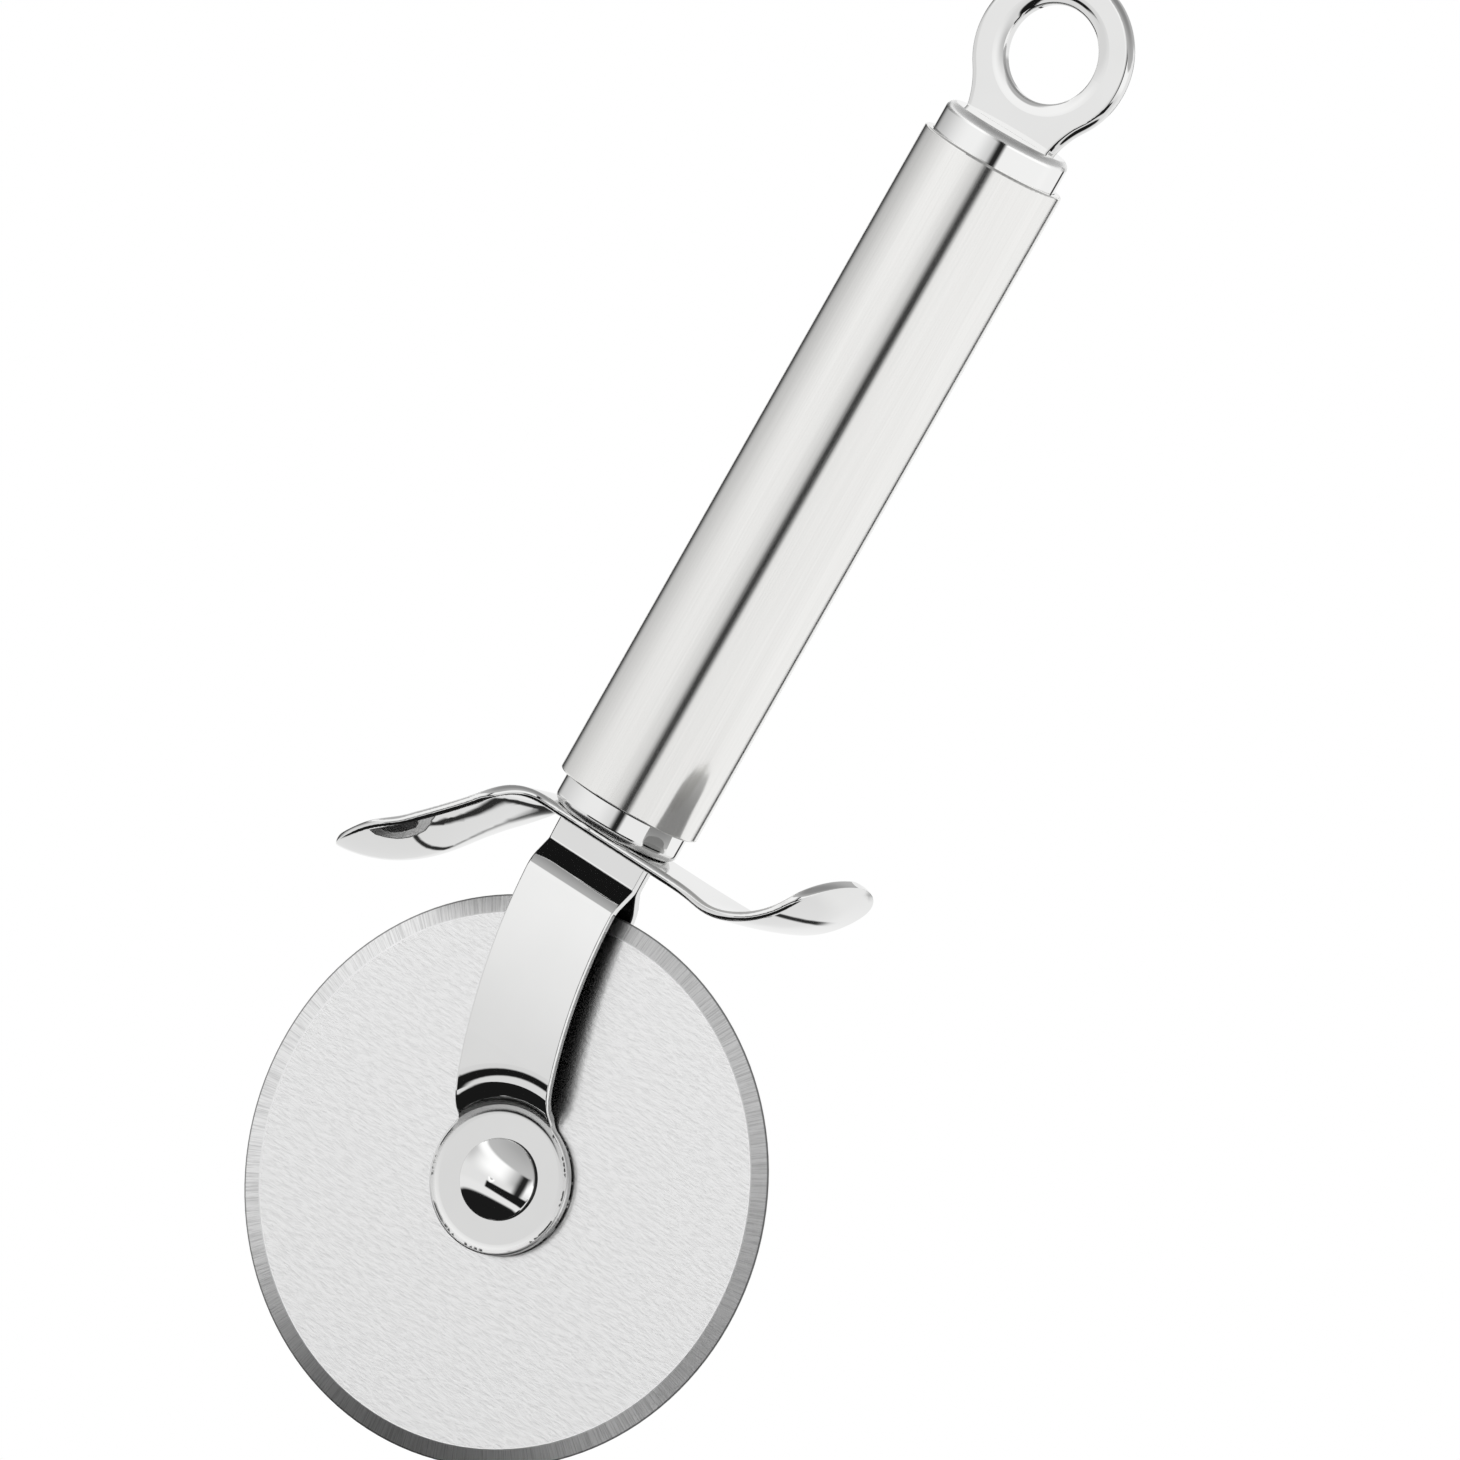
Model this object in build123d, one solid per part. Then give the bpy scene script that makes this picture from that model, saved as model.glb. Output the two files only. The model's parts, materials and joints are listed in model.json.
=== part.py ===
from build123d import *
import os
from math import acos, asin, atan2, copysign, cos, degrees, radians, sin, sqrt, tan

# Pizza cutter wheel: a hollow round handle with a hanging ring, a guard with two finger rests, and a fork
# of two bent strips that carries a free-running disc blade.
#
# Lengths are in millimetres and angles in degrees. The origin is the centre of the hanging hole. +Z runs
# along the handle towards the ring, +X points to the side where the guard curls up, and the blade turns
# about +Y. The front of the tool faces -Y.

# Hanging ring, a stamped plate with a tang that goes down into the top cap
hole_radius = 6.1
hole_edge_radius = 0.35
hole_roll_radius = 4.3
hole_roll_width = 1.6
ring_radius = 10.5
ring_thickness = 2.0
ring_edge_radius = 0.75
neck_width = 13.0
neck_side_radius = 12.0
ring_tang_width = 9.0

# Handle tube
ring_to_tube = 14.7
tube_length = 90.4
tube_radius = 9.42
tube_wall = 1.0
tube_rim_radius = 0.3

# End caps, drawn cups that plug the tube
top_cap_stand = 4.1
bottom_cap_stand = 3.75
cap_fit = 0.06
cap_wall = 1.6
cap_face_thickness = 1.5
cap_edge_radius = 1.2
cap_skirt_length = 10.0
tang_fit = 0.05

# Cross pins that lock the tangs in the caps
pin_radius = 1.25
pin_depth = 6.2
pin_fit = 0.03
pin_inset = 0.4
pin_chamfer = 0.3
tang_end = 2.6

# Seal rings that keep washing-up water out of the tube
seal_depth = 2.4
seal_wire_radius = 0.5
seal_fit = 0.03

# Guard, one strip whose ends are dished finger rests
guard_thickness = 1.25
guard_width = 12.6
curl_level = 12.4
curl_dip_radius = 102.0
curl_dip_turn = 2.9
curl_radius = 13.4
curl_turn = 82.0
curl_tip = 0.5
curl_rest_width = 20.4
curl_dish = 0.55
droop_level = 8.4
droop_bend_radius = 4.3
droop_bend_turn = 56.0
droop_slope = 11.6
droop_flare_radius = 16.4
droop_flare_turn = 51.3
droop_rest_width = 20.8
droop_dish = 3.2
rest_tip_span = 0.9

# Where along each rest, from the handle's axis to its tip, width and dish grow and the tip rounds off
curl_growth_shares = (0.33, 0.66)
curl_dish_shares = (0.40, 0.90)
curl_round_share = 0.87
droop_growth_shares = (0.17, 0.36)
droop_dish_shares = (0.27, 0.86)
droop_round_share = 0.68
rest_station_count = 16
tip_station_count = 7
# A cubic curve whose inner points stand out by this share of the strip's thickness makes a half-round edge
edge_bulge_share = 2 / 3

# Fork arms, two strips that leave the guard back to back, spread and come in again at their eyes
strip_thickness = 1.2
strip_width = 13.4
strip_foot_width = 12.2
strip_edge_radius = 0.25
fork_shift = 0.05
fork_tang_width = 8.4
arm_straight = 3.3
spread_turn = 40.0
spread_inner_radius = 1.7
spread_outer_radius = 2.4
spread_slope = 2.35
bow_turn = 5.0
joggle_turn = 58.0
joggle_ease_turn = 14.0
joggle_eye_ease_radius = 6.6
joggle_eye_radius = 2.2
joggle_arm_radius = 1.4
joggle_arm_ease_radius = 7.4
joggle_start = 8.0
eye_radius = 9.3
eye_fillet = 2.2

# Disc blade and its bearing
fork_drop = 42.1
axle_offset = 10.4
blade_radius = 35.0
blade_thickness = 0.9
bevel_width = 2.2
edge_thickness = 0.14
bush_radius = 3.4
running_fit = 0.05
side_play = 0.05
washer_radius = 6.4
washer_thickness = 0.2

# Two-part axle rivet with a low dome on each side
shank_radius = 2.0
core_radius = 1.2
rivet_fit = 0.02
dome_radius = 5.1
dome_height = 2.0
dome_side = 0.5
dome_edge_radius = 0.3
dome_groove = 0.15
bore_floor = 0.5
shank_inset = 0.2

# Cuts run this far past the faces that they open, and points this close count as one
overrun = 1.0
tolerance = 0.01

# Heights and distances that follow from the sizes above
tube_top = -ring_to_tube
tube_bottom = tube_top - tube_length
cap_top = tube_top + top_cap_stand
guard_top = tube_bottom - bottom_cap_stand
guard_bottom = guard_top - guard_thickness
guard_middle = (guard_top + guard_bottom) / 2
axle_height = guard_bottom - fork_drop
tube_bore = tube_radius - tube_wall
cap_radius = tube_bore - cap_fit
eye_inside = blade_thickness / 2 + side_play + washer_thickness
eye_outside = eye_inside + strip_thickness
ring_tang_bottom = tube_top - pin_depth - tang_end
fork_tang_top = tube_bottom + pin_depth + tang_end
fork_tang_length = fork_tang_top - guard_bottom
handle_diameter = 2 * tube_radius

axle = Axis((axle_offset, 0, axle_height), (0, 1, 0))
# Local planes whose second direction points out of the tool's front
hole_section = Plane((0, 0, 0), x_dir=(1, 0, 0), z_dir=(0, 0, -1))
front_section = Plane((axle_offset, 0, axle_height), x_dir=(1, 0, 0), z_dir=(0, 0, -1))
arm_section = Plane((0, 0, fork_tang_top), x_dir=(0, 0, -1), z_dir=(-1, 0, 0))


def run_of(size, turn):
    """Length of one move: a straight run has no turn, and an arc has its radius as size."""
    return size if turn == 0 else size * radians(abs(turn))


def walk(moves, distance):
    """Place and heading on a path of straight runs and tangent arcs."""
    along, across, heading = 0, 0, 0
    for size, turn in moves:
        step = min(distance, run_of(size, turn))
        distance -= step
        if turn == 0:
            along += step * cos(heading)
            across += step * sin(heading)
        else:
            side = copysign(1, turn)
            swung = heading + side * step / size
            along += side * size * (sin(swung) - sin(heading))
            across += side * size * (cos(heading) - cos(swung))
            heading = swung
    return along, across, heading


def beside(moves, distance, shift):
    """Point beside the path, shifted to its left."""
    along, across, heading = walk(moves, distance)
    return (along - shift * sin(heading), across + shift * cos(heading))


def strip_section(moves, thickness, middle):
    """Section of a bent strip of even thickness whose middle starts at a height across the path."""
    edges = []
    ends = []
    for shift in (middle - thickness / 2, middle + thickness / 2):
        start = 0
        ends.append(beside(moves, start, shift))
        for size, turn in moves:
            stop = start + run_of(size, turn)
            first = beside(moves, start, shift)
            last = beside(moves, stop, shift)
            if turn == 0:
                edges.append(Line(first, last))
            else:
                edges.append(ThreePointArc(first, beside(moves, (start + stop) / 2, shift), last))
            start = stop
        ends.append(last)
    edges.append(Line(ends[0], ends[2]))
    edges.append(Line(ends[1], ends[3]))
    return make_face(edges)


def turned(*outline):
    """Solid turned about the axle from a closed outline of (radius, distance out of the mid-plane)."""
    return revolve(front_section * make_face(outline), axle)


def cross_pin_hole(height):
    """Hole for a cross pin, right through the handle along Y."""
    return Pos(0, 0, height) * Rot(90, 0, 0) * Cylinder(pin_radius + pin_fit, handle_diameter)


def ring_outline():
    """Face of the ring and its neck in the XZ plane: hollow arcs run from the ring's circle to the cap."""
    foot = Vector(neck_width / 2, cap_top)
    reach = ring_radius + neck_side_radius
    swing = acos((reach**2 + foot.length**2 - neck_side_radius**2) / (2 * reach * foot.length))
    centre = foot.rotate(Axis.Z, degrees(swing)).normalized() * reach
    touch = centre * (ring_radius / reach)
    middle = centre + ((touch + foot) / 2 - centre).normalized() * neck_side_radius
    side = ThreePointArc(touch, middle, foot)
    across = Line(touch, (-touch.X, touch.Y))
    neck = make_face([side, mirror(side, Plane.YZ), across, Line(foot, (-foot.X, foot.Y))])
    return Circle(ring_radius) + neck


def hole_cut():
    """Solid that opens the hanging hole and lets the ring's faces roll off towards it."""
    face = ring_thickness / 2
    rim = hole_radius + hole_roll_width
    swing = asin(hole_roll_width / hole_roll_radius)
    lip = face - hole_roll_radius * (1 - cos(swing))
    between = (rim - hole_roll_radius * sin(swing / 2), face - hole_roll_radius * (1 - cos(swing / 2)))
    front = make_face(
        [
            Line((0, 0), (hole_radius, 0)),
            Line((hole_radius, 0), (hole_radius, lip)),
            ThreePointArc((hole_radius, lip), between, (rim, face)),
            Line((rim, face), (rim, face + overrun)),
            Line((rim, face + overrun), (0, face + overrun)),
            Line((0, face + overrun), (0, 0)),
        ]
    )
    front = revolve(hole_section * front, Axis.Y)
    return front + mirror(front, Plane.XZ)


def build_ring():
    """Hanging ring: a flat eye with a short neck and a tang."""
    body = extrude(Plane.XZ * ring_outline(), ring_thickness / 2, both=True)
    rim = [e for e in body.edges() if e.center().Z > cap_top + tolerance and is_flat_in_y(e)]
    body = fillet(rim, ring_edge_radius)
    body -= hole_cut()
    circles = body.edges().filter_by(GeomType.CIRCLE)
    body = fillet([e for e in circles if abs(e.radius - hole_radius) < tolerance], hole_edge_radius)
    tang_length = cap_top - ring_tang_bottom
    tang = Pos(0, 0, cap_top - tang_length / 2) * Box(ring_tang_width, ring_thickness, tang_length)
    return body + tang - cross_pin_hole(tube_top - pin_depth)


def is_flat_in_y(edge):
    """Whether an edge keeps one distance from the mid-plane."""
    level = abs(edge.position_at(0).Y - edge.position_at(1).Y) < tolerance
    return level and abs(edge.center().Y) > tolerance


def build_tube():
    """Open tube with its rims rounded."""
    tube = Cylinder(tube_radius, tube_length) - Cylinder(tube_bore, tube_length + overrun)
    rims = [e for e in tube.edges().filter_by(GeomType.CIRCLE) if e.radius > tube_radius - tube_wall / 2]
    return Pos(0, 0, (tube_top + tube_bottom) / 2) * fillet(rims, tube_rim_radius)


def build_cap(stand, slot_length, slot_width):
    """Drawn cup with its face up at the stand, its skirt down in the tube, and the tube's end at zero."""
    height = stand + cap_skirt_length
    cup = Pos(0, 0, stand - height / 2) * Cylinder(cap_radius, height)
    cup = fillet(cup.edges().sort_by(Axis.Z)[-1], cap_edge_radius)
    hollow = height - cap_face_thickness + overrun
    cup -= Pos(0, 0, stand - cap_face_thickness - hollow / 2) * Cylinder(cap_radius - cap_wall, hollow)
    cup -= Pos(0, 0, stand) * Box(slot_length, slot_width, 2 * cap_face_thickness + overrun)
    groove_width = 2 * (seal_wire_radius + seal_fit)
    groove_bottom = tube_bore - groove_width
    groove = Cylinder(tube_radius, groove_width) - Cylinder(groove_bottom, groove_width)
    cup -= Pos(0, 0, -seal_depth) * groove
    return cup - cross_pin_hole(-pin_depth)


def build_seal(height):
    """Round seal ring in a cap's groove."""
    return Pos(0, 0, height) * Torus(tube_bore - seal_wire_radius - seal_fit, seal_wire_radius)


def build_cross_pin(height):
    """Plain pin that ends inside the cap's skirt."""
    half_length = sqrt(cap_radius**2 - pin_radius**2) - pin_inset
    pin = Cylinder(pin_radius, 2 * half_length)
    pin = chamfer(pin.edges().filter_by(GeomType.CIRCLE), pin_chamfer)
    return Pos(0, 0, height) * Rot(90, 0, 0) * pin


def grow(share, shares):
    """Smooth rise from nought to one between two shares."""
    ramp = min(max((share - shares[0]) / (shares[1] - shares[0]), 0), 1)
    return ramp * ramp * (3 - 2 * ramp)


def rest_stations(round_share):
    """Shares of a rest's length at which it has a section, closer where the tip rounds off."""
    straight = [round_share * i / rest_station_count for i in range(rest_station_count)]
    turns = [radians(90 * i / tip_station_count) for i in range(tip_station_count + 1)]
    return straight + [round_share + (1 - round_share) * sin(turn) for turn in turns]


def rest_section(place, heading, side, half_width, dish):
    """Section of a finger rest: a dished band of the guard's thickness with round edges."""
    up = Vector(-side * sin(heading), 0, cos(heading))
    out = Vector(0, 1, 0)
    lean = atan2(2 * dish, half_width)
    edge_normal = up * cos(lean) - out * sin(lean)
    edge_tangent = out * cos(lean) + up * sin(lean)
    far_edge = place + out * half_width + up * dish
    curves = []
    faces = []
    for shift in (-guard_thickness / 2, guard_thickness / 2):
        far = far_edge + edge_normal * shift
        near = Vector(far.X, -far.Y, far.Z)
        middle = place + up * shift
        curves.append(Bezier(near, middle * 2 - (near + far) * 0.5, far))
        faces.append((near, far))
    bulge = guard_thickness * edge_bulge_share
    near_tangent = Vector(edge_tangent.X, -edge_tangent.Y, edge_tangent.Z)
    for index, tangent in ((0, near_tangent), (1, edge_tangent)):
        low = faces[0][index]
        high = faces[1][index]
        curves.append(Bezier(low, low + tangent * bulge, high + tangent * bulge, high))
    return make_face(curves)


def build_rest(side, moves, full_width, dish, growth_shares, dish_shares, round_share):
    """One half of the guard, from just past the handle's axis to its rounded tip."""
    length = sum(run_of(size, turn) for size, turn in moves)
    sections = []
    for share in rest_stations(round_share):
        along, across, heading = walk(moves, share * length)
        rounding = max((share - round_share) / (1 - round_share), 0)
        width = guard_width + (full_width - guard_width) * grow(share, growth_shares)
        width *= sqrt(max(1 - rounding * rounding, 0))
        span = max(width - guard_thickness, rest_tip_span)
        depth = dish * grow(share, dish_shares) * (width / full_width) ** 2
        place = Vector(side * along, 0, guard_middle + across)
        sections.append(rest_section(place, heading, side, span / 2, depth))
    return loft(sections)


def build_guard():
    """Guard: two finger rests that grow out of one strip, and the slot for the fork's tangs."""
    curl_moves = (
        (curl_level, 0),
        (curl_dip_radius, -curl_dip_turn),
        (curl_radius, curl_turn),
        (curl_tip, 0),
    )
    droop_moves = (
        (droop_level, 0),
        (droop_bend_radius, -droop_bend_turn),
        (droop_slope, 0),
        (droop_flare_radius, droop_flare_turn),
    )
    curl_shares = (curl_growth_shares, curl_dish_shares, curl_round_share)
    droop_shares = (droop_growth_shares, droop_dish_shares, droop_round_share)
    curl = build_rest(1, curl_moves, curl_rest_width, curl_dish, *curl_shares)
    droop = build_rest(-1, droop_moves, droop_rest_width, droop_dish, *droop_shares)
    slot = Box(fork_tang_width + 2 * tang_fit, 2 * (strip_thickness + tang_fit), guard_thickness + overrun)
    return curl + droop - Pos(0, 0, guard_middle) * slot


def fork_outline():
    """Face of a fork arm in the XZ plane: the swept strip with its eye, and the tang above it."""
    reach = axle_offset - fork_shift
    sweep_radius = (fork_drop**2 + reach**2) / (2 * reach)
    sweep_angle = asin(fork_drop / sweep_radius)
    centre_x = fork_shift + sweep_radius

    def side_points(side):
        points = []
        for share in (0, 1 / 2, 1):
            width = strip_width + (strip_foot_width - strip_width) * share
            radius = sweep_radius + side * width / 2
            angle = sweep_angle * share
            points.append((centre_x - radius * cos(angle), guard_bottom - radius * sin(angle)))
        return points

    inner = side_points(-1)
    outer = side_points(1)
    strip = make_face(
        [
            ThreePointArc(*inner),
            Line(inner[-1], outer[-1]),
            ThreePointArc(*outer),
            Line(outer[0], inner[0]),
        ]
    )
    blank = strip + Pos(axle_offset, axle_height) * Circle(eye_radius)
    corners = [v for v in blank.vertices() if axle_height + tolerance < v.Y < guard_bottom - strip_width]
    blank = fillet(corners, eye_fillet)
    tang = Pos(0, guard_bottom + fork_tang_length / 2) * Rectangle(fork_tang_width, fork_tang_length)
    return blank, tang


def build_front_arm():
    """Front arm of the fork: a strip that spreads, bows and comes in again round its eye."""
    arm_moves = [
        (fork_tang_length + arm_straight, 0),
        (spread_inner_radius, spread_turn),
        (spread_slope, 0),
        (spread_outer_radius, bow_turn - spread_turn),
    ]
    bent_length = sum(run_of(size, turn) for size, turn in arm_moves)
    along, across, heading = walk(arm_moves, bent_length)
    eye_middle = (eye_inside + eye_outside) / 2

    # The joggle bends gently at its ends and tightly in its middle
    tight_turn = joggle_turn - joggle_ease_turn
    eye_bends = [
        (joggle_start, 0),
        (joggle_eye_ease_radius, joggle_ease_turn),
        (joggle_eye_radius, tight_turn),
    ]
    arm_bends = [
        (joggle_arm_radius, -tight_turn),
        (joggle_arm_ease_radius, -joggle_ease_turn),
    ]
    bends = eye_bends + arm_bends
    bends_height, bends_rise, _ = walk(bends, sum(run_of(size, turn) for size, turn in bends))

    # The bow's arc and the joggle's slope share the height and the rise that are left between bends and eye
    turn = radians(joggle_turn)
    bow = radians(bow_turn)
    height = fork_tang_top - along - axle_height - bends_height
    rise = across + strip_thickness / 2 - eye_middle - bends_rise
    bow_radius = (height - rise / tan(turn)) / (sin(bow) + (1 - cos(bow)) / tan(turn))
    slope = (rise + bow_radius * (1 - cos(bow))) / sin(turn)
    arm_moves.append((bow_radius, -bow_turn))
    arm_middle = eye_middle + bends_rise + slope * sin(turn)
    join_height = axle_height + bends_height + slope * cos(turn)
    joggle_moves = eye_bends + [(slope, 0)] + arm_bends + [(strip_width, 0)]
    side_view = strip_section(arm_moves, strip_thickness, strip_thickness / 2)
    upper = extrude(arm_section * side_view, handle_diameter, both=True)
    lower = revolve(front_section * strip_section(joggle_moves, strip_thickness, eye_middle), axle)
    blank, tang = fork_outline()
    reach = 2 * arm_middle
    fork_length = 2 * (fork_tang_length + fork_drop)
    blank = extrude(Plane.XZ * blank, reach, both=True)
    tang = extrude(Plane.XZ * tang, reach, both=True)
    above = Pos(0, 0, join_height + fork_length / 2) * Box(fork_length, fork_length, fork_length)
    arm = (blank & upper & above) + ((blank & lower) - above)
    rim = [e for e in arm.edges() if is_rim(e)]
    arm = fillet(rim, strip_edge_radius)
    arm += tang & upper
    eye_hole = Rot(90, 0, 0) * Cylinder(shank_radius + rivet_fit, 2 * reach)
    arm -= Pos(axle_offset, 0, axle_height) * eye_hole
    return arm - cross_pin_hole(tube_bottom + pin_depth)


def is_rim(edge):
    """Whether an edge runs along the strip between one of its faces and its cut side."""
    start = edge.position_at(0)
    stop = edge.position_at(1)
    short = (start - stop).length < strip_thickness + tolerance
    across_thickness = short and abs(start.Y - stop.Y) > tolerance and abs(start.X - stop.X) < tolerance
    at_guard = min(start.Z, stop.Z) > guard_bottom - tolerance
    return not at_guard and not across_thickness


def build_blade():
    """Disc blade, ground on both sides to a thin edge, with a bored hub."""
    bore = bush_radius + running_fit
    half = blade_thickness / 2
    land = blade_radius - bevel_width
    edge = edge_thickness / 2
    front = [(bore, half), (land, half), (blade_radius, edge)]
    back = [(blade_radius, -edge), (land, -half), (bore, -half)]
    return turned(Polyline(front + back, close=True))


def flat_ring(radius, near, far):
    """Flat ring on the rivet's shank, between two distances out of the mid-plane."""
    bore = shank_radius + rivet_fit
    return turned(Polyline((bore, near), (radius, near), (radius, far), (bore, far), close=True))


def build_bush():
    """Bush that the blade runs on, clamped between the washers."""
    half = blade_thickness / 2 + side_play
    return flat_ring(bush_radius, -half, half)


def build_front_washer():
    """Thin washer between the bush and the front eye."""
    return flat_ring(washer_radius, eye_inside - washer_thickness, eye_inside)


def dome_edges(foot, reach):
    """Outline of a domed head, from its foot to the axis, with a low side that leans over a small groove."""
    top = reach + dome_height
    shoulder = reach + dome_side
    crown = dome_height - dome_side
    sphere = (dome_radius**2 + crown**2) / (2 * crown)
    half_angle = asin(dome_radius / sphere) / 2
    between = (sphere * sin(half_angle), top - sphere * (1 - cos(half_angle)))
    return [
        Line((foot, reach), (dome_radius - dome_groove, reach)),
        Line((dome_radius - dome_groove, reach), (dome_radius, shoulder)),
        ThreePointArc((dome_radius, shoulder), between, (0, top)),
    ]


def round_dome(rivet):
    """Rivet, drawn facing front, with the shoulder of its dome rounded."""
    circles = rivet.edges().filter_by(GeomType.CIRCLE)
    shoulder = [e for e in circles if abs(e.radius - dome_radius) < tolerance]
    return fillet(shoulder, dome_edge_radius)


def build_front_rivet():
    """Front half of the rivet: a dome with a tubular shank through the whole stack."""
    bore = core_radius + rivet_fit
    top = eye_outside + dome_height
    floor = eye_outside - bore_floor
    end = -eye_outside + shank_inset
    rivet = turned(
        *dome_edges(shank_radius, eye_outside),
        Line((0, top), (0, floor)),
        Line((0, floor), (bore, floor)),
        Line((bore, floor), (bore, end)),
        Line((bore, end), (shank_radius, end)),
        Line((shank_radius, end), (shank_radius, eye_outside)),
    )
    return round_dome(rivet)


def build_rear_rivet():
    """Rear half of the rivet, drawn facing front and turned over: a dome with a solid core."""
    top = eye_outside + dome_height
    end = -eye_outside + 2 * bore_floor
    rivet = turned(
        *dome_edges(core_radius, eye_outside),
        Line((0, top), (0, end)),
        Line((0, end), (core_radius, end)),
        Line((core_radius, end), (core_radius, eye_outside)),
    )
    return mirror(round_dome(rivet), Plane.XZ)


front_arm = build_front_arm()
front_washer = build_front_washer()
top_cap = build_cap(top_cap_stand, ring_tang_width + 2 * tang_fit, ring_thickness + 2 * tang_fit)
bottom_cap = build_cap(bottom_cap_stand, fork_tang_width + 2 * tang_fit, 2 * (strip_thickness + tang_fit))

nodes = {
    "hanging_ring": build_ring(),
    "top_end_cap": Pos(0, 0, tube_top) * top_cap,
    "top_seal_ring": build_seal(tube_top - seal_depth),
    "ring_tang_pin": build_cross_pin(tube_top - pin_depth),
    "handle_tube": build_tube(),
    "bottom_end_cap": Pos(0, 0, tube_bottom) * Rot(180, 0, 0) * bottom_cap,
    "bottom_seal_ring": build_seal(tube_bottom + seal_depth),
    "fork_tang_pin": build_cross_pin(tube_bottom + pin_depth),
    "finger_guard": build_guard(),
    "front_fork_arm": front_arm,
    "rear_fork_arm": mirror(front_arm, Plane.XZ),
    "cutting_wheel": build_blade(),
    "hub_bush": build_bush(),
    "front_thrust_washer": front_washer,
    "rear_thrust_washer": mirror(front_washer, Plane.XZ),
    "front_axle_rivet": build_front_rivet(),
    "rear_axle_rivet": build_rear_rivet(),
}

os.makedirs("parts", exist_ok=True)
for name, shape in nodes.items():
    export_step(shape, f"parts/{name}.step")
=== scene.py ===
"""Looks of the pizza cutter wheel: steel finishes, a studio for its reflections, and the photo's camera."""
import json
from math import cos, radians, sin

import bpy
from mathutils import Matrix, Vector

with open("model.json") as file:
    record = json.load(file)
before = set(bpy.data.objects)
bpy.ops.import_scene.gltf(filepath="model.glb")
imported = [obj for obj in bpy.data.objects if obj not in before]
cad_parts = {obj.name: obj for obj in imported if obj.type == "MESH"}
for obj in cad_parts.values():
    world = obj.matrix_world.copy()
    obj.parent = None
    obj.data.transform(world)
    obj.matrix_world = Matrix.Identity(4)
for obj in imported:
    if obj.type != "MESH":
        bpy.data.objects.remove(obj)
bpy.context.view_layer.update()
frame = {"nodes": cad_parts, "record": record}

# Lengths are in metres and angles in degrees. An azimuth is nought towards the front of the tool (-Y) and
# grows towards +X. Light levels are linear, and one renders as white.

# The photograph's camera
photo_side = 1460
focal_pixels = 18036.5
camera_azimuth = 23.332
camera_elevation = 7.09
camera_roll = 29.591
camera_distance = 2.19957
camera_shift = (0.03544, 0.049683)
camera_reach = 20.0
sensor_width = 36.0

# Floor, well under the hung tool
floor_height = -0.75
floor_radius = 2.0
floor_fade = 0.5
floor_corners = 96
floor_colour = (0.97, 0.97, 0.97, 1)

# Studio: bright walls up to a grey ceiling, a dark floor in front of the tool, and flags between the walls
wall_light = 1.08
rear_wall_light = 0.93
wall_top = (17.0, 21.0)
ceiling_light = (0.52, 0.30)
ceiling_span = (18.0, 70.0)
skirt_light = 0.80
skirt_span = (-13.0, 3.0)
apron_light = 0.84
apron_span = (-26.0, -20.0)
dark_light = 0.011
dark_span = (-36.0, -32.0)
dark_side = (105.0, 135.0)
left_wall_light = (0.04, 0.22)
left_wall_step = (-132.0, -114.0)
left_wall_span = (-116.0, -34.0)
left_wall_height = (6.0, 14.0)
rear_bright_side = (-146.0, -138.0)
shoulder_light = 0.40
shoulder_side = (-18.0, 20.0)
gap_light = 0.02
gap_left = (10.0, 21.0)
gap_right = (25.0, 33.0)
gap_height = (-24.0, -20.0, 17.0, 21.0)
wedge_sides = (-32.0, -28.0, 60.0, 66.0)
wedge_middle = -19.0
wedge_half_heights = (4.2, 7.2)
wedge_soft = 1.2
rear_light = 0.03
rear_side = (164.0, 168.0, 174.0, 177.0)
rear_height = (-16.0, -12.0, 14.0, 18.0)
wire_side = 185.0
wire_slant = 0.966
wire_turn = -21.0
wire_half_width = 1.6
wire_soft = 0.8
wire_height = (-62.0, -57.0, -24.0, -20.0)

# Places on the tool: the axle and the blade
axle_x, axle_z = 0.0104, -0.1522
blade_radius = 0.035
bevel_width = 0.0022
# The bevel is shaded as if its slope fell by this much more than the slope of its form
bevel_lean = 0.20
# The eye's rounded rim, by its distance from the axle
eye_rim = (0.0082, 0.0088, 0.0095, 0.0098)
# The seam between rivet and eye, where painted shade goes, by its distance from the blade's mid-plane and
# from the axle
seam_top = (0.0023, 0.00245)
seam_radius = (0.0046, 0.0048)

# Layers of detail in the noises, beyond the plain two
fine_detail = 3.0
finest_detail = 5.0

# Polish, with the brightness of each polished piece, and how its cloud and wipe marks vary it
ring_shine = 0.84
fork_shine = 0.82
cap_shine = 0.95
rivet_shine = 0.95
polish_warmth = 0.005
polish_dulling = 0.04
polish_roughness = (0.015, 0.05)
cloud_pitch = 160.0
wipe_pitches = (900.0, 900.0, 9000.0)
wipe_depth = 0.0000004
wipe_strength = 0.4

# Rounded edges of the caps, by how far their surface faces up or down, and the buffing there
cap_rounding = (0.05, 0.3, 0.95, 0.999)
cap_rounding_roughness = 0.28

# Painted shade: a dark band at the rivet's seam with the eye, and the nearly black inner faces of the fork
# arms, where shade falls between arm and blade
seam_painted_shade_colour = (0.03, 0.03, 0.03, 1)
seam_roughness = 0.3
inner_shade_facing = (0.3, 0.6)
inner_face_painted_shade_colour = (0.02, 0.02, 0.02, 1)
inner_roughness = 0.35
eye_rim_roughness = 0.30

# Satin of the tube, whose grain runs along it
tube_fine_pitches = (5200.0, 5200.0, 60.0)
tube_broad_pitches = (900.0, 900.0, 22.0)
tube_fine_roughness = 0.6
tube_fine_share = 0.6
tube_dull = (0.82, 0.815, 0.80)
tube_bright = (0.99, 0.985, 0.97)
tube_roughness = (0.10, 0.17)
tube_grain_depth = 0.000004
tube_grain_strength = 0.5
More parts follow.
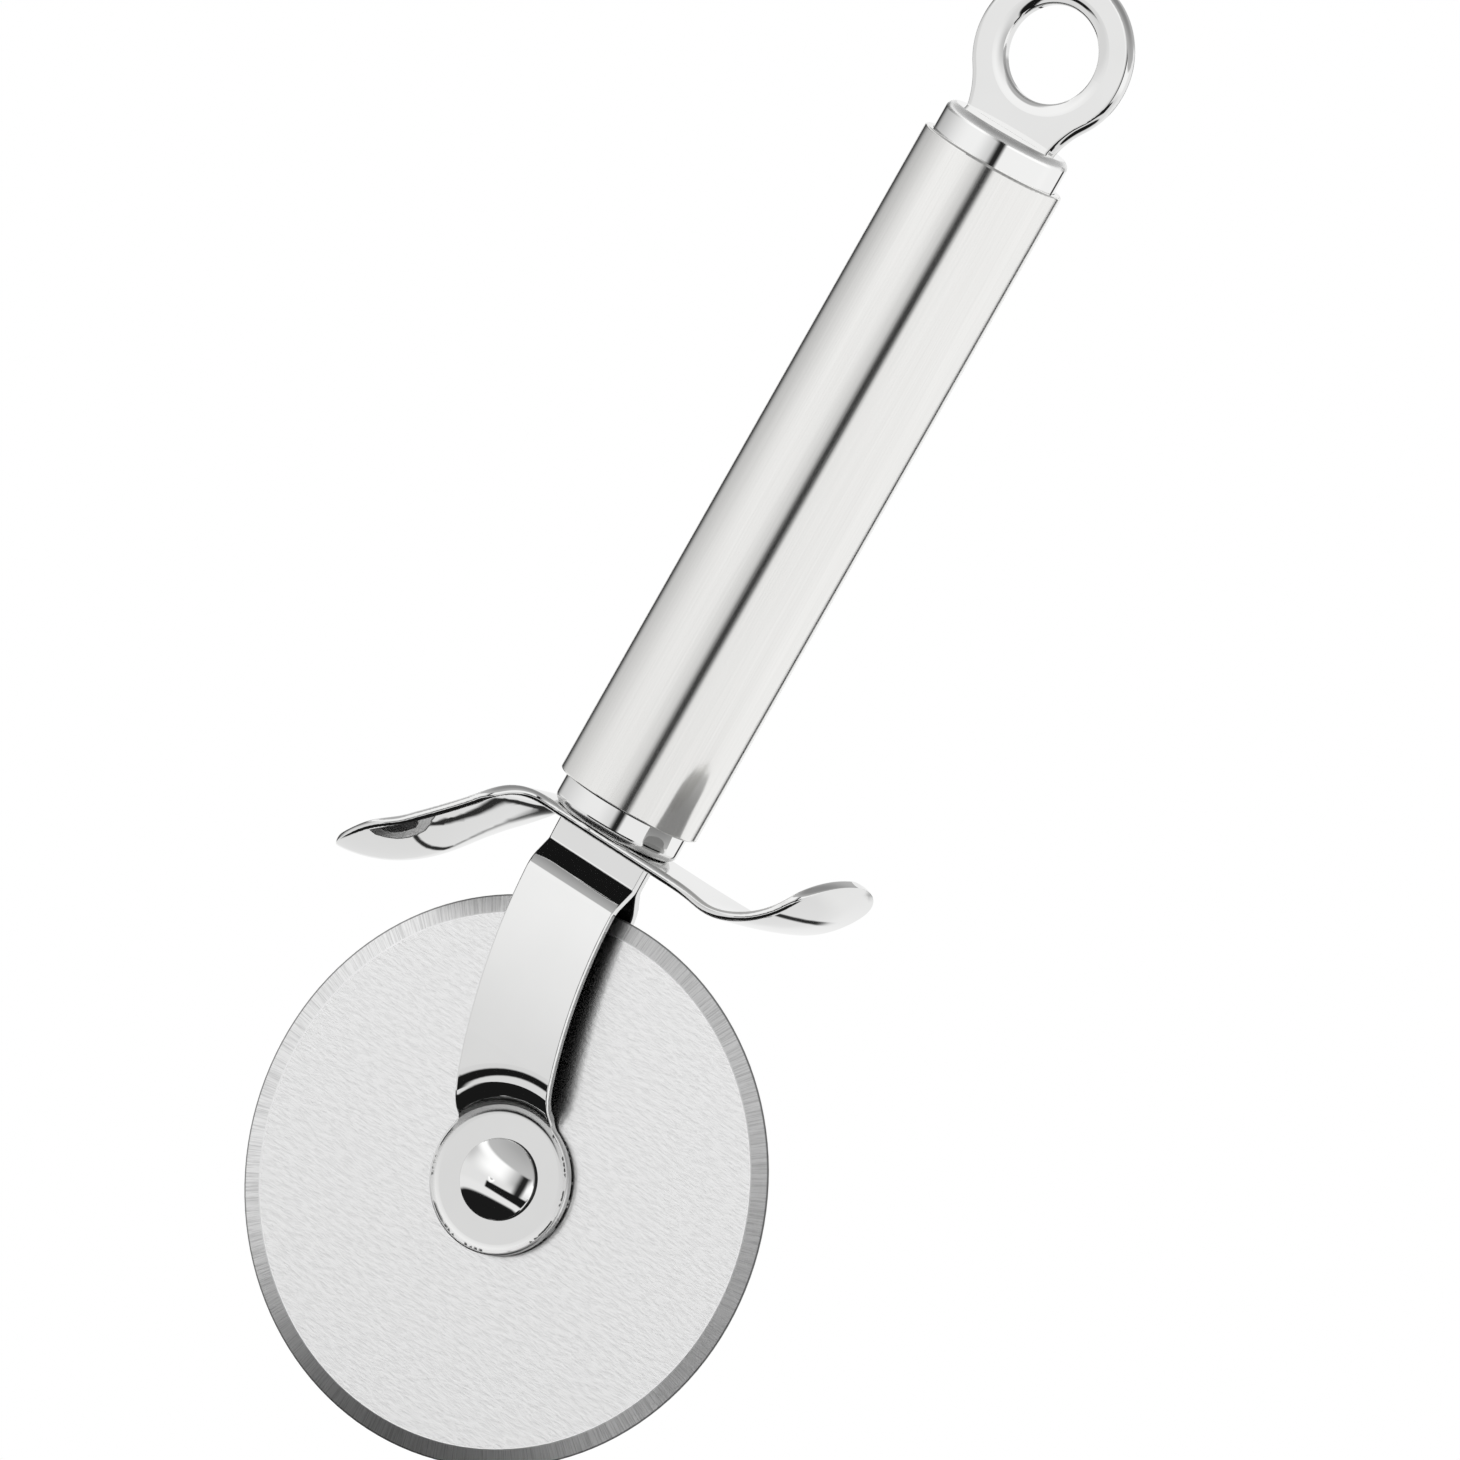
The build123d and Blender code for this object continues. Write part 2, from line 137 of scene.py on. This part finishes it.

# Grain of the blade: streaks along and across, and rays round and outwards; then a painted highlight line
# where the face meets the bevel, and painted shade on the outer rim
streak_pitches = (600.0, 1900.0)
streak_contrast = (0.30, 0.62)
ray_pitches = (230.0, 160.0)
ray_contrast = (0.32, 0.60)
grain_roughness = 0.65
face_shades = (0.93, 1.0)
bevel_shades = (0.72, 1.0)
rim_painted_shade = 0.25
land_blend = 0.0001
land_highlight_line = (0.0002, 0.00005)
rim_shade_span = (0.00025, 0.0001)
face_roughness = 0.27
bevel_roughness = 0.32
blade_mark_depth = 0.000006

# Turned steel of the pins, the bush and the washers
pin_colour = (0.72, 0.72, 0.71, 1)
pin_pitches = (700.0, 5000.0, 700.0)
pin_roughness = (0.25, 0.4)
pin_mark_depth = 0.000003
pin_mark_strength = 0.5

# Rubber of the seals
rubber_dark = (0.012, 0.012, 0.012)
rubber_pale = (0.03, 0.03, 0.03)
rubber_pitch = 3000.0
rubber_roughness = (0.5, 0.7)
rubber_grain_depth = 0.00001
rubber_grain_strength = 0.4

# Pieces whose finish is their own version of their slot's
own_finishes = {
    "front_fork_arm": "fork_steel",
    "rear_fork_arm": "fork_steel",
    "top_end_cap": "bright_steel",
    "bottom_end_cap": "bright_steel",
    "front_axle_rivet": "rivet_steel",
    "rear_axle_rivet": "rivet_steel",
}


class Graph:
    """Adds nodes to one tree. Inputs are sockets or plain numbers, and each call gives an output socket."""

    def __init__(self, tree):
        self.tree = tree
        tree.nodes.clear()

    def node(self, kind, inputs=(), **settings):
        made = self.tree.nodes.new(kind)
        for name, value in settings.items():
            setattr(made, name, value)
        for name, value in dict(inputs).items():
            self.set(made.inputs[name], value)
        return made

    def set(self, socket, value):
        if isinstance(value, bpy.types.NodeSocket):
            self.tree.links.new(value, socket)
        else:
            socket.default_value = value

    def math(self, operation, *values):
        return self.node("ShaderNodeMath", enumerate(values), operation=operation).outputs[0]

    def rise(self, value, span):
        """Smooth step from nought at the span's start to one at its end."""
        inputs = {"Value": value, "From Min": span[0], "From Max": span[1]}
        return self.node("ShaderNodeMapRange", inputs, interpolation_type="SMOOTHSTEP").outputs[0]

    def fall(self, value, span):
        """Smooth step from one at the span's start to nought at its end."""
        return self.math("SUBTRACT", 1.0, self.rise(value, span))

    def window(self, value, sides):
        """One between the inner two of four sides, and nought outside the outer two."""
        return self.math("MULTIPLY", self.rise(value, sides[:2]), self.fall(value, sides[2:]))

    def mix(self, share, low, high):
        inputs = {"Factor": share, "A": low, "B": high}
        return self.node("ShaderNodeMix", inputs, data_type="FLOAT").outputs[0]

    def separate(self, vector):
        return self.node("ShaderNodeSeparateXYZ", {"Vector": vector}).outputs

    def combine(self, x, y, z):
        return self.node("ShaderNodeCombineXYZ", {"X": x, "Y": y, "Z": z}).outputs[0]

    def scale(self, vector, factors):
        inputs = {0: vector, 1: factors}
        return self.node("ShaderNodeVectorMath", inputs, operation="MULTIPLY").outputs[0]

    def noise(self, vector, scale, detail=2.0, roughness=0.5):
        inputs = {"Vector": vector, "Scale": scale, "Detail": detail, "Roughness": roughness}
        return self.node("ShaderNodeTexNoise", inputs).outputs["Fac"]

    def bump(self, height, distance, strength=1.0):
        inputs = {"Height": height, "Distance": distance, "Strength": strength}
        return self.node("ShaderNodeBump", inputs).outputs[0]

    def tint(self, share, low, high):
        return self.blend(share, (*low, 1), (*high, 1))

    def blend(self, share, low, high):
        """Mix of two colours, given as sockets or as plain values."""
        inputs = {"Factor": share, "A": low, "B": high}
        made = self.tree.nodes.new("ShaderNodeMix")
        made.data_type = "RGBA"
        for socket in made.inputs:
            if socket.enabled and socket.name in inputs:
                self.set(socket, inputs[socket.name])
        return next(s for s in made.outputs if s.enabled)

    def length(self, across, up):
        """Length of a flat vector."""
        squares = [self.math("MULTIPLY", side, side) for side in (across, up)]
        return self.math("SQRT", self.math("ADD", *squares))

    def from_axle(self, x, z):
        """Steps across and up from the axle, and the distance from it."""
        across = self.math("SUBTRACT", x, axle_x)
        up = self.math("SUBTRACT", z, axle_z)
        return across, up, self.length(across, up)

    def object_place(self):
        return self.node("ShaderNodeTexCoord").outputs["Object"]

    def object_normal(self):
        return self.node("ShaderNodeTexCoord").outputs["Normal"]


def steel(name, **values):
    """New material, metal unless the values say otherwise, with its graph and its shader."""
    material = bpy.data.materials.new(name)
    material.use_nodes = True
    graph = Graph(material.node_tree)
    shader = graph.node("ShaderNodeBsdfPrincipled", {"Metallic": 1.0, **values})
    graph.node("ShaderNodeOutputMaterial", {"Surface": shader.outputs[0]})
    return material, graph, shader


def polish(graph, shader, shine):
    """Mirror polish with faint wipe marks. Gives the sockets of its colour and its roughness."""
    place = graph.object_place()
    cloud = graph.noise(place, cloud_pitch, fine_detail)
    lines = graph.noise(graph.scale(place, wipe_pitches), 1.0)
    graph.set(shader.inputs["Normal"], graph.bump(lines, wipe_depth, wipe_strength))
    bright = (shine, shine, shine - polish_warmth)
    dull = [level - polish_dulling for level in bright]
    return graph.tint(cloud, dull, bright), graph.mix(cloud, *polish_roughness)


def polished_steel():
    """Polish of the ring and the guard."""
    material, graph, shader = steel("polished_steel")
    colour, roughness = polish(graph, shader, ring_shine)
    graph.set(shader.inputs["Base Color"], colour)
    graph.set(shader.inputs["Roughness"], roughness)
    return material


def bright_steel():
    """Brighter polish of the drawn caps, buffed on their rounded edges."""
    material, graph, shader = steel("bright_steel")
    colour, roughness = polish(graph, shader, cap_shine)
    graph.set(shader.inputs["Base Color"], colour)
    upward = graph.math("ABSOLUTE", graph.separate(graph.object_normal())[2])
    rounding = graph.window(upward, cap_rounding)
    graph.set(shader.inputs["Roughness"], graph.mix(rounding, roughness, cap_rounding_roughness))
    return material


def rivet_steel():
    """Bright dome of the rivet, with painted shade: a dark band coloured at its side, where it meets the
    eye.
    """
    material, graph, shader = steel("rivet_steel")
    colour, roughness = polish(graph, shader, rivet_shine)
    x, y, z = graph.separate(graph.object_place())
    # Painted shade: the rivet's side, low by the eye, is coloured dark
    low = graph.fall(graph.math("ABSOLUTE", y), seam_top)
    seam_shade = graph.math("MULTIPLY", low, graph.rise(graph.from_axle(x, z)[2], seam_radius))
    graph.set(shader.inputs["Base Color"], graph.blend(seam_shade, colour, seam_painted_shade_colour))
    graph.set(shader.inputs["Roughness"], graph.mix(seam_shade, roughness, seam_roughness))
    return material


def fork_steel():
    """Polished fork arm whose inner face, towards the blade, is coloured nearly black as painted shade. The
    rounding of the eye's rim is buffed, not polished.
    """
    material, graph, shader = steel("fork_steel")
    colour, roughness = polish(graph, shader, fork_shine)
    x, y, z = graph.separate(graph.object_place())
    # Painted shade: faces turned inward, towards the blade, are coloured nearly black
    rearward = graph.separate(graph.object_normal())[1]
    inward = graph.math("MULTIPLY", rearward, graph.math("MULTIPLY", graph.math("SIGN", y), -1.0))
    inner = graph.rise(inward, inner_shade_facing)
    graph.set(shader.inputs["Base Color"], graph.blend(inner, colour, inner_face_painted_shade_colour))
    rim = graph.window(graph.from_axle(x, z)[2], eye_rim)
    buffed = graph.math("MULTIPLY", rim, eye_rim_roughness)
    rest = graph.mix(inner, roughness, inner_roughness)
    graph.set(shader.inputs["Roughness"], graph.math("MAXIMUM", buffed, rest))
    return material


def satin_steel():
    """Satin tube, brushed along its length."""
    material, graph, shader = steel("satin_steel")
    place = graph.object_place()
    fine = graph.noise(graph.scale(place, tube_fine_pitches), 1.0, fine_detail, tube_fine_roughness)
    broad = graph.noise(graph.scale(place, tube_broad_pitches), 1.0)
    grain = graph.mix(tube_fine_share, broad, fine)
    graph.set(shader.inputs["Base Color"], graph.tint(grain, tube_dull, tube_bright))
    graph.set(shader.inputs["Roughness"], graph.mix(grain, *tube_roughness))
    graph.set(shader.inputs["Normal"], graph.bump(fine, tube_grain_depth, tube_grain_strength))
    return material


def blade_grain(graph, place, pitches, contrast, detail):
    """Grain of the blade, drawn out along the first two of three places."""
    first, second, y = place
    first = graph.math("MULTIPLY", first, pitches[0])
    second = graph.math("MULTIPLY", second, pitches[1])
    return graph.rise(graph.noise(graph.combine(first, y, second), 1.0, detail, grain_roughness), contrast)


def blade_steel():
    """Blade with a pale linear grain on its faces and radial grinding marks on its bevel, a painted
    highlight line where the face meets the bevel, and painted shade along its outer rim.
    """
    material, graph, shader = steel("blade_steel")
    x, y, z = graph.separate(graph.object_place())
    across, up, radius = graph.from_axle(x, z)
    angle = graph.math("ARCTAN2", up, across)
    streaks = blade_grain(graph, (across, up, y), streak_pitches, streak_contrast, finest_detail)
    rays = blade_grain(graph, (angle, radius, y), ray_pitches, ray_contrast, fine_detail)

    land = blade_radius - bevel_width
    bevel = graph.rise(radius, (land - land_blend, land + land_blend))
    shade = graph.mix(bevel, graph.mix(streaks, *face_shades), graph.mix(rays, *bevel_shades))
    # Painted highlight: a white line is coloured where the face meets the bevel
    outer, inner = land_highlight_line
    highlight_line = graph.window(radius, (land - outer, land - inner, land + inner, land + outer))
    shade = graph.mix(highlight_line, shade, 1.0)
    # Painted shade: the blade's outer rim is darkened in its colour
    rim = graph.rise(radius, [blade_radius - depth for depth in rim_shade_span])
    shade = graph.mix(rim, shade, rim_painted_shade)
    graph.set(shader.inputs["Base Color"], graph.combine(shade, shade, shade))
    graph.set(shader.inputs["Roughness"], graph.mix(bevel, face_roughness, bevel_roughness))

    marks = graph.math("MULTIPLY", graph.mix(bevel, streaks, rays), blade_mark_depth)
    past_land = graph.math("MAXIMUM", graph.math("SUBTRACT", radius, land), 0.0)
    lean = graph.math("MULTIPLY", past_land, bevel_lean)
    # The bump's height is in metres already, so its distance stays one
    graph.set(shader.inputs["Normal"], graph.bump(graph.math("SUBTRACT", marks, lean), 1.0))
    return material


def pin_steel():
    """Pin, bush and washer steel with fine turned marks."""
    material, graph, shader = steel("pin_steel", **{"Base Color": pin_colour})
    marks = graph.noise(graph.scale(graph.object_place(), pin_pitches), 1.0)
    graph.set(shader.inputs["Roughness"], graph.mix(marks, *pin_roughness))
    graph.set(shader.inputs["Normal"], graph.bump(marks, pin_mark_depth, pin_mark_strength))
    return material


def seal_rubber():
    """Dark seal rubber with a faint grain."""
    material, graph, shader = steel("seal_rubber", Metallic=0.0)
    grain = graph.noise(graph.object_place(), rubber_pitch, fine_detail)
    graph.set(shader.inputs["Base Color"], graph.tint(grain, rubber_dark, rubber_pale))
    graph.set(shader.inputs["Roughness"], graph.mix(grain, *rubber_roughness))
    graph.set(shader.inputs["Normal"], graph.bump(grain, rubber_grain_depth, rubber_grain_strength))
    return material


def make_camera():
    """Camera of the photograph, which the roll turns about its own line of sight."""
    azimuth, elevation, roll = radians(camera_azimuth), radians(camera_elevation), radians(camera_roll)
    right = Vector((cos(azimuth), sin(azimuth), 0))
    back = Vector((sin(azimuth) * cos(elevation), -cos(azimuth) * cos(elevation), sin(elevation)))
    up = back.cross(right)
    image_x = cos(roll) * right + sin(roll) * up
    image_y = cos(roll) * up - sin(roll) * right
    data = bpy.data.cameras.new("camera")
    data.sensor_width = sensor_width
    data.lens = sensor_width * focal_pixels / photo_side
    data.clip_end = camera_reach
    camera = bpy.data.objects.new("camera", data)
    bpy.context.scene.collection.objects.link(camera)
    place = Vector((0, 0, axle_z)) + back * camera_distance
    place += image_x * camera_shift[0] + image_y * camera_shift[1]
    turn = Matrix((image_x, image_y, back)).transposed().to_4x4()
    camera.matrix_world = Matrix.Translation(place) @ turn
    bpy.context.scene.camera = camera


def wall_level(graph, azimuth, elevation, aside):
    """Light of the walls, with the dim wall at the left, the shoulder by the gap, and the lower bands."""
    left = graph.math("MULTIPLY", graph.fall(azimuth, left_wall_span), graph.rise(azimuth, rear_bright_side))
    left = graph.math("MULTIPLY", left, graph.fall(elevation, left_wall_height))
    left_level = graph.mix(graph.rise(azimuth, left_wall_step), *left_wall_light)
    wall = graph.mix(graph.rise(aside, dark_side), wall_light, rear_wall_light)
    level = graph.mix(left, wall, left_level)
    shoulder = graph.math("MULTIPLY", graph.rise(azimuth, shoulder_side), graph.fall(azimuth, gap_right))
    level = graph.mix(shoulder, level, shoulder_light)
    skirt = graph.math("MULTIPLY", graph.fall(elevation, skirt_span), graph.fall(aside, dark_side))
    level = graph.mix(skirt, level, skirt_light)
    return graph.mix(graph.fall(elevation, apron_span), level, apron_light)


def gap_share(graph, azimuth, elevation):
    """Dark upright gap between the walls."""
    gap = graph.math("MULTIPLY", graph.rise(azimuth, gap_left), graph.fall(azimuth, gap_right))
    return graph.math("MULTIPLY", gap, graph.window(elevation, gap_height))


def wedge_share(graph, azimuth, elevation):
    """Dark level wedge in front, which widens from its left tip to its right end."""
    inputs = {"Value": azimuth, "From Min": wedge_sides[0], "From Max": wedge_sides[2],
              "To Min": wedge_half_heights[0], "To Max": wedge_half_heights[1]}
    reach = graph.node("ShaderNodeMapRange", inputs).outputs[0]
    away = graph.math("ABSOLUTE", graph.math("SUBTRACT", elevation, wedge_middle))
    wedge = graph.rise(graph.math("SUBTRACT", reach, away), (-wedge_soft, wedge_soft))
    return graph.math("MULTIPLY", wedge, graph.window(azimuth, wedge_sides))


def wire_share(graph, turn, elevation):
    """Dark slanted wire behind, below the dark strip."""
    drop = graph.math("MULTIPLY", graph.math("SUBTRACT", elevation, wire_turn), wire_slant)
    aim = graph.math("ADD", drop, wire_side)
    off_wire = graph.math("ABSOLUTE", graph.math("SUBTRACT", turn, aim))
    wire = graph.fall(off_wire, (wire_half_width - wire_soft, wire_half_width + wire_soft))
    return graph.math("MULTIPLY", wire, graph.window(elevation, wire_height))


def studio_level(graph):
    """Light level of the studio by direction, for what the steel reflects."""
    x, y, z = graph.separate(graph.node("ShaderNodeTexCoord").outputs["Generated"])
    azimuth = graph.math("DEGREES", graph.math("ARCTAN2", x, graph.math("MULTIPLY", y, -1.0)))
    elevation = graph.math("DEGREES", graph.math("ARCSINE", z))
    aside = graph.math("ABSOLUTE", azimuth)
    turn = graph.math("FLOORED_MODULO", azimuth, 360.0)

    level = wall_level(graph, azimuth, elevation, aside)
    level = graph.mix(gap_share(graph, azimuth, elevation), level, gap_light)
    level = graph.mix(wedge_share(graph, azimuth, elevation), level, dark_light)
    rear = graph.math("MULTIPLY", graph.window(turn, rear_side), graph.window(elevation, rear_height))
    level = graph.mix(rear, level, rear_light)
    level = graph.mix(wire_share(graph, turn, elevation), level, rear_light)
    ceiling = graph.mix(graph.rise(elevation, ceiling_span), *ceiling_light)
    level = graph.mix(graph.rise(elevation, wall_top), level, ceiling)
    dark = graph.math("MULTIPLY", graph.fall(elevation, dark_span), graph.fall(aside, dark_side))
    return graph.mix(dark, level, dark_light)


def make_world():
    """White world, in which mirror rays see the studio instead."""
    world = bpy.data.worlds.new("studio")
    bpy.context.scene.world = world
    world.use_nodes = True
    graph = Graph(world.node_tree)
    glossy = graph.node("ShaderNodeLightPath").outputs["Is Glossy Ray"]
    level = graph.mix(glossy, 1.0, studio_level(graph))
    sky = graph.node("ShaderNodeBackground", {"Color": (1, 1, 1, 1), "Strength": level})
    graph.node("ShaderNodeOutputWorld", {"Surface": sky.outputs[0]})
    # A mirror ray has to find the world by itself, because a lamp sample doesn't count as a glossy ray
    world.cycles.sampling_method = "NONE"


def make_floor():
    """Pale round floor that fades into the white world at its rim, and that steel doesn't reflect."""
    mesh = bpy.data.meshes.new("floor")
    turns = [radians(360 * i / floor_corners) for i in range(floor_corners)]
    corners = [(floor_radius * cos(turn), floor_radius * sin(turn), floor_height) for turn in turns]
    mesh.from_pydata(corners, [], [range(len(corners))])
    floor = bpy.data.objects.new("floor", mesh)
    bpy.context.scene.collection.objects.link(floor)
    material = bpy.data.materials.new("floor")
    material.use_nodes = True
    graph = Graph(material.node_tree)
    reach = graph.length(*graph.separate(graph.object_place())[:2])
    matt = graph.node("ShaderNodeBsdfDiffuse", {"Color": floor_colour})
    clear = graph.node("ShaderNodeBsdfTransparent")
    share = graph.rise(reach, (floor_radius - floor_fade, floor_radius))
    blend = graph.node("ShaderNodeMixShader", {0: share, 1: matt.outputs[0], 2: clear.outputs[0]})
    graph.node("ShaderNodeOutputMaterial", {"Surface": blend.outputs[0]})
    mesh.materials.append(material)
    floor.visible_glossy = False


def dress_nodes():
    """Gives every piece of the frame its finish."""
    makers = (polished_steel, bright_steel, rivet_steel, fork_steel,
              satin_steel, blade_steel, pin_steel, seal_rubber)
    finishes = {maker.__name__: maker() for maker in makers}
    for part in frame["record"]["subparts"]:
        slot = part["material_slot"]
        node = frame["nodes"][part["node"]]
        for place in node.material_slots:
            place.material = finishes[own_finishes.get(part["node"], slot)]


dress_nodes()
make_camera()
make_world()
make_floor()
bpy.context.scene.view_settings.view_transform = "Standard"
